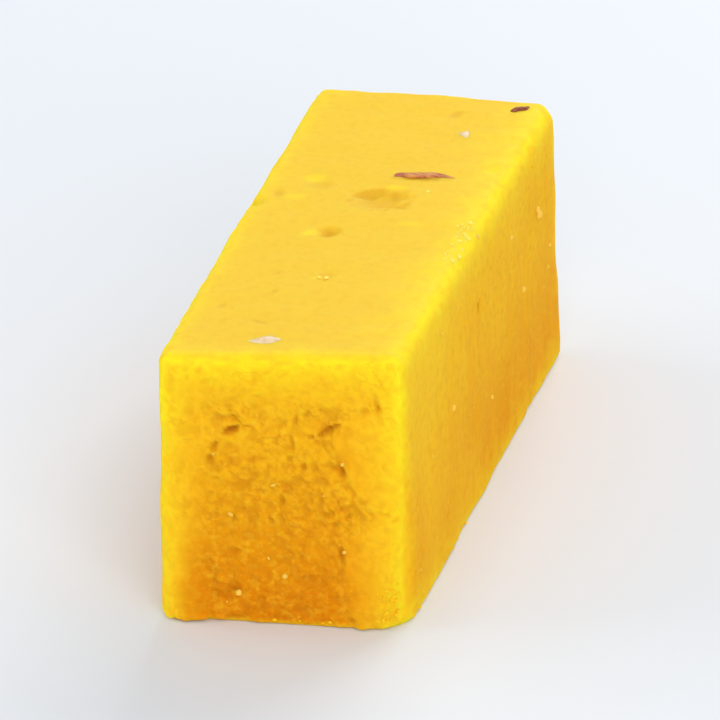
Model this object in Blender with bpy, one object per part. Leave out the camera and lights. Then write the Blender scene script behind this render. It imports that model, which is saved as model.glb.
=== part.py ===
"""Besan chikki: a knife-cut bar of a dense chickpea-flour sweet, with slivers and chips of nut in its top.

Units are metres and +Z is up. The bar lies on its base with its length along Y. Its near end, the one that
faces the eye, looks towards -Y, and its right side looks towards +X. The origin is the middle of its box at
the base.
"""

import math
import random

import bmesh
import bpy
from mathutils import Matrix, Vector, noise

MM = 0.001

# The slab was poured to one thickness and cut freehand, so only the height is even.
LENGTH = 62.0 * MM
WIDTH_NEAR = 22.5 * MM
WIDTH_FAR = 24.4 * MM
HEIGHT = 28.0 * MM

# How far each end cut runs off square: going right, the cut climbs towards the far end.
NEAR_CUT_DEG = 13.2
FAR_CUT_DEG = 5.0

# The knife leaned as it went down, so each side stands out at its foot, and the near end stands out at the
# foot of its right corner.
RIGHT_FLARE = 1.2 * MM
LEFT_FLARE = 0.15 * MM
NEAR_FOOT_LEAN = 1.8 * MM

# Moves the skewed bar so that its box is centred on the origin.
CENTRE_SHIFT = Vector((-0.54 * MM, 0.86 * MM, 0))

# Radius of the worn edge round the top and round the base, by the face below or above it.
TOP_RADII = {"near": 1.5 * MM, "far": 1.3 * MM, "right": 1.7 * MM, "left": 1.1 * MM}
BASE_RADII = {"near": 0.7 * MM, "far": 0.6 * MM, "right": 0.5 * MM, "left": 0.6 * MM}

# Radius of each upright corner. The near right one was pressed rounder towards its foot.
CORNER_RADII = {
    ("near", "left"): 1.8 * MM,
    ("near", "right"): 1.7 * MM,
    ("far", "left"): 1.5 * MM,
    ("far", "right"): 1.7 * MM,
}
NEAR_RIGHT_FOOT_RADIUS = 3.6 * MM
NEAR_RIGHT_FOOT_HEIGHT = 18.0 * MM

# One corner's radius passes into the next over this share of the half size, either side of the middle.
CORNER_BLEND = 0.5

# Where the mesh is sliced: close together at the worn edges and evenly between them.
EDGE_SLICES = (0.4 * MM, 1.0 * MM, 1.8 * MM)
ACROSS_SPACING = 0.92 * MM
ALONG_SPACING = 2.2 * MM

# Points nearer than this to a slice, or to the base, count as on it.
SLICE_TOLERANCE = 0.001 * MM
BASE_TOLERANCE = 0.01 * MM

# The relief fades out where the skin turns under, between these shares of facing down.
BASE_FADE = (0.2, 0.9)

# Edges that turn by more than this are shaded sharp.
SHARP_ANGLE_DEG = 50.0

# Long soft swells of the whole skin.
SWELL_SIZE = 11.0 * MM
SWELL_DEPTH = 0.16 * MM

# Faint combed furrows across the top, left by the spatula.
FURROW_PITCH = 5.2 * MM
FURROW_DEPTH = 0.05 * MM
FURROW_BEND = 0.8

# The middle of each end tore as the knife left it: a rough field, a little sunk, inside a smooth margin.
TEAR_DEPTH = 0.34 * MM
TEAR_GRAIN_SIZE = 1.9 * MM
TEAR_GRAIN_DEPTH = 0.2 * MM
TEAR_GRAIN_FALLOFF = 0.9
TEAR_GRAIN_STEP = 2.1
TEAR_GRAIN_LAYERS = 2
TEAR_LEFT = -7.8 * MM
TEAR_TOP = 25.6 * MM
TEAR_SOFTNESS = 1.8 * MM

# How far the field's bounds wander, over what length, and the share of that by which its right bound does so
# up and across.
TEAR_WANDER = 1.0 * MM
TEAR_WANDER_SIZE = 3.0 * MM
FLAP_WANDER_UP = 0.5
FLAP_WANDER_ACROSS = 0.4

# The field's right bound, as height and place: a flap of the smooth margin reaches in at mid height.
TEAR_RIGHT = (
    (0.0 * MM, 6.6 * MM),
    (8.0 * MM, 5.4 * MM),
    (11.8 * MM, 8.6 * MM),
    (13.9 * MM, 6.9 * MM),
    (19.0 * MM, 4.8 * MM),
    (20.9 * MM, 5.6 * MM),
    (22.4 * MM, 9.2 * MM),
    (28.0 * MM, 8.0 * MM),
)
FLAP_SOFTNESS = 0.5 * MM

# Crumbling along the edges.
CRUMBLE_SIZE = 2.3 * MM
CRUMBLE_DEPTH = 0.28 * MM
CRUMBLE_LOSS = 0.2

# Dimples in the top, each with its middle, half length, half width and depth.
TOP_DIMPLES = (
    (0.8 * MM, 4.9 * MM, 3.1 * MM, 2.6 * MM, 0.5 * MM),
    (-2.3 * MM, -3.0 * MM, 1.5 * MM, 1.5 * MM, 0.4 * MM),
    (-6.5 * MM, 1.7 * MM, 1.4 * MM, 1.4 * MM, 0.2 * MM),
    (-6.6 * MM, 8.8 * MM, 1.8 * MM, 1.4 * MM, 0.2 * MM),
    (9.3 * MM, 13.3 * MM, 1.6 * MM, 1.5 * MM, 0.25 * MM),
)

# The plainest pores of the near end, as place across, height, radius and depth.
NEAR_PORES = (
    (-4.8 * MM, 20.3 * MM, 1.2 * MM, 0.7 * MM),
    (4.3 * MM, 20.4 * MM, 1.3 * MM, 0.7 * MM),
    (-6.5 * MM, 18.1 * MM, 1.1 * MM, 0.5 * MM),
    (-0.1 * MM, 13.0 * MM, 1.1 * MM, 0.5 * MM),
    (1.8 * MM, 21.8 * MM, 1.2 * MM, 0.5 * MM),
)

# More pores, spread over the ends and sides by a seeded rule.
PORE_SEED = 11
END_PORES = 15
SIDE_PORES = 12
PORE_RADIUS = (0.8 * MM, 1.3 * MM)
PORE_DEPTH = (0.2 * MM, 0.45 * MM)

# The parts of an end and of a side that they are spread over, as shares of the half width, the height and the
# half length. A side's pores are shallower by SIDE_PORE_SHARE.
END_PORES_ACROSS = (-0.7, 0.6)
END_PORES_UP = (0.08, 0.86)
SIDE_PORES_ALONG = (-0.9, 0.9)
SIDE_PORES_UP = (0.1, 0.85)
SIDE_PORE_SHARE = 0.5

# Pistachio slivers on the top: the middle, the turn about Z, and the length, width and thickness.
SLIVERS = (
    ((3.6 * MM, 11.0 * MM), 14.0, (6.2 * MM, 1.3 * MM, 0.6 * MM)),
    ((8.9 * MM, 28.2 * MM), 48.0, (2.9 * MM, 1.1 * MM, 0.8 * MM)),
)
SLIVER_SIDES = 10
SLIVER_RINGS = 6
SLIVER_BOW = 0.35
SLIVER_RISE = 0.12

# Pale chips of nut on the top: the middle, the turn about Z, and the size.
CHIPS = (
    ((-1.9 * MM, -26.8 * MM), 37.0, (3.4 * MM, 1.7 * MM, 0.5 * MM)),
    ((5.0 * MM, 21.1 * MM), 10.0, (1.2 * MM, 0.9 * MM, 0.4 * MM)),
)
CHIP_JAGS = 3
CHIP_UNEVENNESS = 0.35
CHIP_RISE = 0.1

# The largest crumbs on the skin, by face, place along the face, height, and radius.
CRUMBS = (
    ("right", 22.2 * MM, 19.2 * MM, 0.65 * MM),
    ("right", 14.8 * MM, 14.3 * MM, 0.6 * MM),
    ("right", 10.8 * MM, 21.8 * MM, 0.5 * MM),
    ("right", -13.4 * MM, 14.8 * MM, 0.5 * MM),
    ("right", -5.0 * MM, 26.4 * MM, 0.6 * MM),
    ("near", -8.5 * MM, 0.9 * MM, 0.65 * MM),
    ("near", -4.0 * MM, 3.2 * MM, 0.55 * MM),
    ("near", 0.2 * MM, 5.2 * MM, 0.55 * MM),
    ("left", 3.6 * MM, 26.4 * MM, 0.7 * MM),
)
CRUMB_SINK = 0.35
CRUMB_UNEVENNESS = 0.5

# Finish: name, sRGB colour, roughness, subsurface weight, and how deep light scatters.
BESAN = ("besan", (0.957, 0.718, 0.130), 0.55, 0.6, 1.5 * MM)


def clear_scene():
    """Removes every object that the new file came with."""
    for thing in list(bpy.data.objects):
        bpy.data.objects.remove(thing)


def linear(channel):
    """An sRGB channel as linear light."""
    if channel <= 0.04045:
        return channel / 12.92
    return ((channel + 0.055) / 1.055) ** 2.4


def sweet_material(name, colour, roughness, subsurface, scatter_depth):
    """A Principled material for the sweet."""
    material = bpy.data.materials.new(name)
    material.use_nodes = True
    shader = material.node_tree.nodes["Principled BSDF"]
    shader.inputs["Base Color"].default_value = [*(linear(c) for c in colour), 1]
    shader.inputs["Roughness"].default_value = roughness
    shader.inputs["Metallic"].default_value = 0
    shader.inputs["Subsurface Weight"].default_value = subsurface
    shader.inputs["Subsurface Scale"].default_value = scatter_depth
    return material


def smooth_step(low, high, value):
    """0 below low, 1 above high, and an S-curve between them."""
    share = min(1, max(0, (value - low) / (high - low)))
    return share * share * (3 - 2 * share)


def mix(first, second, share):
    """The value that lies share of the way from first to second."""
    return first + (second - first) * share


def half_size():
    """Half of the plain box's size along each axis."""
    return Vector((WIDTH_NEAR + WIDTH_FAR, 2 * LENGTH, 2 * HEIGHT)) / 4


def slice_places(half, spacing):
    """Where to slice a box that reaches from -half to half: close at its edges, even between them."""
    outer = [half - inset for inset in EDGE_SLICES]
    inner = outer[-1]
    count = round(2 * inner / spacing)
    even = [mix(-inner, inner, step / count) for step in range(1, count)]
    return [-place for place in outer] + even + outer[::-1]


def sliced_box():
    """A bmesh box of the bar's mean size, standing on its base and sliced into small quads."""
    half = half_size()
    box = bmesh.new()
    bmesh.ops.create_cube(box, size=2, matrix=Matrix.Diagonal((*half, 1)))
    for axis, spacing in enumerate((ACROSS_SPACING, ALONG_SPACING, ACROSS_SPACING)):
        normal = Vector((0, 0, 0))
        normal[axis] = 1
        for place in slice_places(half[axis], spacing):
            everything = [*box.verts, *box.edges, *box.faces]
            bmesh.ops.bisect_plane(
                box, geom=everything, dist=SLICE_TOLERANCE, plane_co=normal * place, plane_no=normal
            )
    bmesh.ops.translate(box, verts=box.verts, vec=(0, 0, half.z))
    return box


def corner_radius(point):
    """The radius of the upright corner nearest to a point of the plain box, at the point's height."""
    half = half_size()
    far = smooth_step(-CORNER_BLEND, CORNER_BLEND, point.y / half.y)
    right = smooth_step(-CORNER_BLEND, CORNER_BLEND, point.x / half.x)
    foot = 1 - smooth_step(0, NEAR_RIGHT_FOOT_HEIGHT, point.z)
    near_right = mix(CORNER_RADII["near", "right"], NEAR_RIGHT_FOOT_RADIUS, foot)
    near = mix(CORNER_RADII["near", "left"], near_right, right)
    return mix(near, mix(CORNER_RADII["far", "left"], CORNER_RADII["far", "right"], right), far)


def rim_radius(radii, way):
    """The radius of the top or base edge where the skin beside it faces that way in plan."""
    near_or_far = radii["near"] if way.y < 0 else radii["far"]
    left_or_right = radii["left"] if way.x < 0 else radii["right"]
    return way.y**2 * near_or_far + way.x**2 * left_or_right


def worn(place):
    """A point on the plain box moved on to the worn edges, and the way out of the skin there."""
    half = half_size()
    radius = corner_radius(place)
    flat = Vector((place.x, place.y))
    core = Vector(min(max(c, radius - h), h - radius) for c, h in zip(flat, half))
    away = flat - core
    inset = radius - max(abs(away.x), abs(away.y))
    if away.length:
        way = away.normalized()
        flat = core + way * (radius - inset)
    else:
        way = Vector((0, 0))
        inset = HEIGHT
    if place.z > half.z:
        rim, drop, up = rim_radius(TOP_RADII, way), HEIGHT - place.z, 1
    else:
        rim, drop, up = rim_radius(BASE_RADII, way), place.z, -1
    across, rise = rim - inset, rim - drop
    if across <= 0 and rise <= 0 or not way.length:
        return Vector((*flat, place.z)), Vector((0, 0, up))
    if rise <= 0:
        return Vector((*flat, place.z)), Vector((*way, 0))
    if across <= 0:
        return Vector((*flat, place.z)), Vector((0, 0, up))
    turn = Vector((across, rise)).normalized()
    flat = flat + way * (turn.x * rim - across)
    height = HEIGHT - rim + turn.y * rim if up > 0 else rim - turn.y * rim
    return Vector((*flat, height)), Vector((*(way * turn.x), up * turn.y))


def tear_bound(height):
    """The torn field's right bound at a height."""
    for (low, first), (high, second) in zip(TEAR_RIGHT, TEAR_RIGHT[1:]):
        if height <= high:
            return mix(first, second, smooth_step(low, high, height))
    return TEAR_RIGHT[-1][1]


def tear_share(point):
    """How much of the torn field shows at a point of an end, from 0 at the smooth margin to 1."""
    across = point.x if point.y < 0 else -point.x
    wander = TEAR_WANDER * noise.noise(point / TEAR_WANDER_SIZE)
    share = smooth_step(TEAR_LEFT - TEAR_SOFTNESS, TEAR_LEFT + TEAR_SOFTNESS, across + wander)
    bound = tear_bound(point.z + FLAP_WANDER_UP * wander)
    across += FLAP_WANDER_ACROSS * wander
    share *= 1 - smooth_step(bound - FLAP_SOFTNESS, bound + FLAP_SOFTNESS, across)
    return share * (1 - smooth_step(TEAR_TOP - 2 * TEAR_SOFTNESS, TEAR_TOP, point.z + wander))


def spread_pores():
    """The pores as (middle, radius, depth), on the faces of the plain box."""
    draw = random.Random(PORE_SEED)
    half = half_size()
    pores = [(Vector((x, -half.y, z)), radius, depth) for x, z, radius, depth in NEAR_PORES]
    for sign in (-1, 1):
        for _ in range(END_PORES):
            across, up = draw.uniform(*END_PORES_ACROSS) * half.x, draw.uniform(*END_PORES_UP) * HEIGHT
            place = Vector((across, sign * half.y, up))
            pores.append((place, draw.uniform(*PORE_RADIUS), draw.uniform(*PORE_DEPTH)))
        for _ in range(SIDE_PORES):
            along, up = draw.uniform(*SIDE_PORES_ALONG) * half.y, draw.uniform(*SIDE_PORES_UP) * HEIGHT
            place = Vector((sign * half.x, along, up))
            pores.append((place, draw.uniform(*PORE_RADIUS), SIDE_PORE_SHARE * draw.uniform(*PORE_DEPTH)))
    return pores


def hollow(away):
    """A soft hollow's share of its depth, where away is the distance from its middle over its radius."""
    return (1 - away * away) ** 2 if away < 1 else 0


def relief(point, out, pores):
    """How far the skin stands out from the worn box at a point, where out is the way out of the skin."""
    end, side = out.y**2, out.x**2
    top, base = max(out.z, 0) ** 2, max(-out.z, 0) ** 2
    height = SWELL_DEPTH * noise.noise(point / SWELL_SIZE)
    torn = end * tear_share(point)
    grain = noise.fractal(point / TEAR_GRAIN_SIZE, TEAR_GRAIN_FALLOFF, TEAR_GRAIN_STEP, TEAR_GRAIN_LAYERS)
    height += torn * (TEAR_GRAIN_DEPTH * grain - TEAR_DEPTH)
    edge = 1 - max(end, side, top, base)
    height += 2 * edge * CRUMBLE_DEPTH * (noise.noise(point / CRUMBLE_SIZE) - CRUMBLE_LOSS)
    bend = point.y / FURROW_PITCH + FURROW_BEND * noise.noise(point / SWELL_SIZE)
    height += FURROW_DEPTH * top * math.sin(2 * math.pi * bend)
    for middle, radius, depth in pores:
        height -= depth * (end + side) * hollow((point - middle).length / radius)
    for across, along, half_length, half_width, depth in TOP_DIMPLES:
        away = math.hypot((point.x - across) / half_length, (point.y - along) / half_width)
        height -= depth * top * hollow(away)
    return height * (1 - smooth_step(*BASE_FADE, base))


def knife_cut(point):
    """The worn box's point moved to where the slanted cuts of the knife leave it."""
    along = (point.y + LENGTH / 2) / LENGTH
    depth = 1 - point.z / HEIGHT
    mean_width = (WIDTH_NEAR + WIDTH_FAR) / 2
    x = point.x * mix(WIDTH_NEAR, WIDTH_FAR, along) / mean_width
    right = smooth_step(-mean_width / 2, mean_width / 2, point.x)
    x += depth * mix(-LEFT_FLARE, RIGHT_FLARE, right)
    skew = mix(math.tan(math.radians(NEAR_CUT_DEG)), math.tan(math.radians(FAR_CUT_DEG)), along)
    y = point.y + point.x * skew
    y -= NEAR_FOOT_LEAN * depth * right * (1 - along)
    return Vector((x, y, point.z)) + CENTRE_SHIFT


def on_skin(place, pores):
    """Where a point on the plain box ends up on the bar's skin."""
    point, out = worn(place)
    return knife_cut(point + out * relief(point, out, pores))


def bar(pores):
    """The bar itself, as an object whose mesh is one closed skin with a flat base."""
    box = sliced_box()
    for vertex in box.verts:
        vertex.co = on_skin(vertex.co, pores)
    under = [face for face in box.faces if all(v.co.z < BASE_TOLERANCE for v in face.verts)]
    bmesh.ops.dissolve_faces(box, faces=under, use_verts=True)
    return finished(box, "besan_bar")


def finished(shape, name):
    """The bmesh as a linked object, shaded smooth apart from its sharp edges."""
    bmesh.ops.recalc_face_normals(shape, faces=shape.faces)
    mesh = bpy.data.meshes.new(name)
    shape.to_mesh(mesh)
    shape.free()
    mesh.shade_smooth()
    mesh.set_sharp_from_angle(angle=math.radians(SHARP_ANGLE_DEG))
    thing = bpy.data.objects.new(name, mesh)
    bpy.context.scene.collection.objects.link(thing)
    return thing


def sliver(name, place, turn, size):
    """A pistachio sliver: a thin, bowed spindle sunk half into the top."""
    length, width, thickness = size
    shape = bmesh.new()
    bmesh.ops.create_uvsphere(shape, u_segments=SLIVER_SIDES, v_segments=SLIVER_RINGS, radius=0.5)
    bmesh.ops.rotate(shape, verts=shape.verts, matrix=Matrix.Rotation(math.pi / 2, 3, "Y"))
    for vertex in shape.verts:
        vertex.co.y += SLIVER_BOW * vertex.co.x**2
        vertex.co = Vector((vertex.co.x * length, vertex.co.y * width, vertex.co.z * thickness))
    return laid_on_top(finished(shape, name), place, turn, SLIVER_RISE * thickness)


def chip(name, place, turn, size):
    """A broken chip of nut: a flat, uneven flake sunk half into the top."""
    shape = bmesh.new()
    bmesh.ops.create_icosphere(shape, subdivisions=2, radius=0.5)
    for vertex in shape.verts:
        jag = 1 + CHIP_UNEVENNESS * noise.noise(vertex.co * CHIP_JAGS + Vector((*place, 0)) / MM)
        vertex.co = Vector(c * s * jag for c, s in zip(vertex.co, size))
    return laid_on_top(finished(shape, name), place, turn, CHIP_RISE * size[2])


def laid_on_top(thing, place, turn, rise):
    """Turns the thing about Z and puts its middle that far over the top, at a place on the plain box."""
    thing.rotation_euler.z = math.radians(turn)
    thing.location = knife_cut(Vector((*place, HEIGHT))) + Vector((0, 0, rise))
    return thing


def crumb(name, pores, face, along, height, radius):
    """An uneven crumb, sunk into one of the upright faces with less than half of it standing out."""
    half = half_size()
    places = {
        "right": (Vector((half.x, along, height)), Vector((1, 0, 0))),
        "left": (Vector((-half.x, along, height)), Vector((-1, 0, 0))),
        "near": (Vector((along, -half.y, height)), Vector((0, -1, 0))),
    }
    place, out = places[face]
    shape = bmesh.new()
    bmesh.ops.create_icosphere(shape, subdivisions=2, radius=radius)
    for vertex in shape.verts:
        vertex.co *= 1 + CRUMB_UNEVENNESS * noise.noise(vertex.co / radius + place / MM)
    thing = finished(shape, name)
    thing.location = on_skin(place, pores) - out * CRUMB_SINK * radius
    return thing


def fuse(body, pieces):
    """Joins the pieces to the body as one solid, and removes them."""
    loose = bpy.data.collections.new("loose_bits")
    bpy.context.scene.collection.children.link(loose)
    for piece in pieces:
        bpy.context.scene.collection.objects.unlink(piece)
        loose.objects.link(piece)
    union = body.modifiers.new("union", "BOOLEAN")
    union.operation = "UNION"
    union.operand_type = "COLLECTION"
    union.collection = loose
    union.solver = "EXACT"
    bpy.context.view_layer.objects.active = body
    bpy.ops.object.modifier_apply(modifier=union.name)
    for piece in pieces:
        bpy.data.objects.remove(piece)
    bpy.data.collections.remove(loose)


def main():
    """Builds the bar with all that is pressed into it or sticks to it."""
    clear_scene()
    pores = spread_pores()
    body = bar(pores)
    bits = [sliver(f"sliver_{i}", *each) for i, each in enumerate(SLIVERS)]
    bits += [chip(f"chip_{i}", *each) for i, each in enumerate(CHIPS)]
    bits += [crumb(f"crumb_{i}", pores, *each) for i, each in enumerate(CRUMBS)]
    fuse(body, bits)
    body.data.materials.clear()
    body.data.materials.append(sweet_material(*BESAN))


main()
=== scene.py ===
"""Besan chikki, dressed: one knife-cut bar of a dense chickpea-flour sweet, on a pale table in soft light.

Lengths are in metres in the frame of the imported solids: +Z up, +Y along the bar away from its near end, +X
to the right. The bar's form repeats the named values of the solid and adds the finer crumb, pores and knife
marks, as one closed skin that stands for the solid.
"""

import logging
import math
import random
from dataclasses import dataclass, field
from enum import Enum

import bmesh
import bpy
from mathutils import Matrix, Vector, noise


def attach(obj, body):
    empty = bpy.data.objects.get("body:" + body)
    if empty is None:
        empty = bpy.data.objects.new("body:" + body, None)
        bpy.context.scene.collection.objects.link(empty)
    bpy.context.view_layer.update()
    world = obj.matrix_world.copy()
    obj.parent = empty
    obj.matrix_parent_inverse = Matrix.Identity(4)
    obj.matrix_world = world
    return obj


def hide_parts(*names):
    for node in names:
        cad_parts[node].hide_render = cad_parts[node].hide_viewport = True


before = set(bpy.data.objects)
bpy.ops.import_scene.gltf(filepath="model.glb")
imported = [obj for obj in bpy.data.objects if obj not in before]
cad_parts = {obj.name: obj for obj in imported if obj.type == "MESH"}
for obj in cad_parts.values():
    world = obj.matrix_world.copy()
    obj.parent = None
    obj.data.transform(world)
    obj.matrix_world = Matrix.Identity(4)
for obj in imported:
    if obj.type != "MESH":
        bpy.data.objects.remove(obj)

MM = 0.001
TOUCHING = 0.01 * MM
BODY = "root"
NODE = "besan_bar"
# The noise vectors are seeded from the clock unless a seed other than 0 is set.
NOISE_SEED = 7
SHADER = "Principled BSDF"
# The bar's layers: torn field; rim, the painted edge glow; deep and crevice, painted shade; top, the share
# with a painted sheen.
LAYERS = ("torn", "rim", "deep", "crevice", "top")

# Each noise field is read at a shift of its own, so that no field repeats another.
CRUMB_SHIFT = Vector((3.1, 8.2, 1.7))
PIT_SHIFT = Vector((7.3, 1.9, 4.4))
PIT_GROUP_SHIFT = Vector((9.1, 2.7, 5.3))
BULGE_SHIFT = Vector((2.2, 6.1, 3.3))

Material = bpy.types.Material
Piece = bpy.types.Object
Shape = bmesh.types.BMesh
Socket = bpy.types.NodeSocket
Tree = bpy.types.NodeTree
Pair = tuple[float, float]

log = logging.getLogger("besan_chikki")


def smooth_step(low: float, high: float, value: float) -> float:
    """An S-curve from 0 to 1.

    Args:
        low: Where the curve leaves 0.
        high: Where it reaches 1.
        value: The place to read it at.

    Returns:
        The curve's height there.
    """
    share = min(1.0, max(0.0, (value - low) / (high - low)))
    return share * share * (3 - 2 * share)


def mix(first: float, second: float, share: float) -> float:
    """The value that lies share of the way from first to second."""
    return first + (second - first) * share


def linear_rgba(code: str) -> tuple[float, float, float, float]:
    """Turns an sRGB colour into linear light.

    Args:
        code: The colour as #RRGGBB.

    Returns:
        Red, green, blue and an alpha of 1.
    """
    channels = [int(code[at : at + 2], 16) / 255 for at in (1, 3, 5)]
    light = [c / 12.92 if c <= 0.04045 else ((c + 0.055) / 1.055) ** 2.4 for c in channels]
    return (light[0], light[1], light[2], 1.0)


def in_metres(*rows: tuple) -> tuple:
    """Turns rows of lengths from mm to metres."""
    return tuple(tuple(length * MM for length in row) for row in rows)


def feed(node: bpy.types.Node, values: dict) -> None:
    """Sets a node's values and links its inputs.

    Args:
        node: The node.
        values: Values by property name, or by input name or number where no property has that name. A socket
            is linked to its input, and a hex colour is turned to linear light.
    """
    for name, value in values.items():
        if isinstance(value, str) and value.startswith("#"):
            value = linear_rgba(value)
        if isinstance(value, Socket):
            node.id_data.links.new(value, node.inputs[name])
        elif isinstance(name, str) and hasattr(node, name):
            setattr(node, name, value)
        else:
            node.inputs[name].default_value = value


def add_node(tree: Tree, kind: str, values: dict | None = None, output: int | str = 0) -> Socket:
    """Adds a node with its settings and links.

    Args:
        tree: The node tree to add to.
        kind: The node's type name, without ShaderNode before it.
        values: What is set and linked on it, as feed takes it.
        output: The name or number of the output that is wanted.

    Returns:
        That output.
    """
    node = tree.nodes.new("ShaderNode" + kind)
    feed(node, values or {})
    return node.outputs[output]


def new_material(name: str) -> tuple[Material, Tree, Socket]:
    """A node material with a Principled shader.

    Args:
        name: The material's name.

    Returns:
        The material, its node tree, and the piece's own places for its patterns.
    """
    material = bpy.data.materials.new(name)
    material.use_nodes = True
    tree = material.node_tree
    return material, tree, add_node(tree, "TexCoord", output="Object")


def place_piece(shape: Shape, name: str, material: Material) -> Piece:
    """Makes a finished piece of the sweet from a bmesh, and lets it ride on the bar's body.

    Args:
        shape: The piece's shape in the frame's own coordinates. It is freed.
        name: The piece's name.
        material: Its finish.

    Returns:
        The new object, which sits at the origin.
    """
    mesh = bpy.data.meshes.new(name)
    shape.to_mesh(mesh)
    shape.free()
    mesh.shade_smooth()
    mesh.materials.append(material)
    piece = bpy.data.objects.new(name, mesh)
    bpy.context.scene.collection.objects.link(piece)
    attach(piece, BODY)
    return piece


class Face(Enum):
    """The bar's faces: the axis each looks along, the way it looks, and the face's own two directions."""

    NEAR = (1, -1, 0, 2)
    FAR = (1, 1, 0, 2)
    LEFT = (0, -1, 1, 2)
    RIGHT = (0, 1, 1, 2)
    TOP = (2, 1, 0, 1)

    @property
    def axis(self) -> int:
        """The axis that the face looks along."""
        return self.value[0]

    @property
    def way(self) -> int:
        """The way that it looks along its axis."""
        return self.value[1]

    def spot(self, point: Vector) -> Pair:
        """A point's place in the face's own two directions."""
        return point[self.value[2]], point[self.value[3]]


@dataclass(frozen=True)
class Mark:
    """A soft hollow with a long and a short side: middle on a face, half sizes, turn, depth and painted
    shade.
    """

    face: Face
    middle: Pair
    half_length: float
    half_width: float
    turn: float
    depth: float
    stain: float
    core: float = 0.3
    raggedness: float = 0.45

    def share(self, spot: Pair, unevenness: float) -> float:
        """How much of the hollow's depth a point of its face has.

        Args:
            spot: The point's place in the face's own two directions.
            unevenness: A noise value that makes the hollow's bound uneven.

        Returns:
            1 in the middle, 0 outside it.
        """
        across, up = spot[0] - self.middle[0], spot[1] - self.middle[1]
        cosine, sine = math.cos(math.radians(self.turn)), math.sin(math.radians(self.turn))
        along = (across * cosine + up * sine) / self.half_length
        beside = (up * cosine - across * sine) / self.half_width
        away = math.hypot(along, beside) * (1 + self.raggedness * unevenness)
        return 1 - smooth_step(self.core, 1.0, away)


@dataclass(frozen=True)
class Crack:
    """A crevice that runs from point to point on a face, with its half width, depth and painted shade."""

    face: Face
    points: tuple
    half_width: float
    depth: float
    stain: float
    core: float = 0.2
    raggedness: float = 0.9
    opening: Pair = (-0.35, 0.15)
    wander: float = 0.4 * MM
    wander_size: float = 0.9 * MM

    def share(self, spot: Pair, unevenness: float) -> float:
        """How much of the crevice's depth a point of its face has.

        Args:
            spot: The point's place in the face's own two directions.
            unevenness: A noise value that makes the crevice wander and narrow.

        Returns:
            1 on the crevice's line, 0 beside it.
        """
        gap = math.inf
        wander = self.wander * noise.noise_vector(Vector((*spot, 0)) / self.wander_size)
        spot = (spot[0] + wander.x, spot[1] + wander.y)
        for (x0, y0), (x1, y1) in zip(self.points, self.points[1:]):
            run_x, run_y = x1 - x0, y1 - y0
            part = ((spot[0] - x0) * run_x + (spot[1] - y0) * run_y) / (run_x**2 + run_y**2)
            part = min(1.0, max(0.0, part))
            gap = min(gap, math.hypot(spot[0] - x0 - part * run_x, spot[1] - y0 - part * run_y))
        width = self.half_width * (1 + self.raggedness * unevenness)
        opened = smooth_step(*self.opening, unevenness)
        return opened * (1 - smooth_step(self.core * width, width, gap))


def marks_on(face: Face, *rows: tuple) -> tuple:
    """Makes the marks of one face.

    Args:
        face: The face.
        rows: For each mark its two places, half length and half width in mm, its turn in degrees, its depth
            in mm and the strength of its painted shade.

    Returns:
        The marks.
    """
    return tuple(
        Mark(face, (x * MM, y * MM), long * MM, short * MM, turn, depth * MM, stain)
        for x, y, long, short, turn, depth, stain in rows
    )


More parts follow.
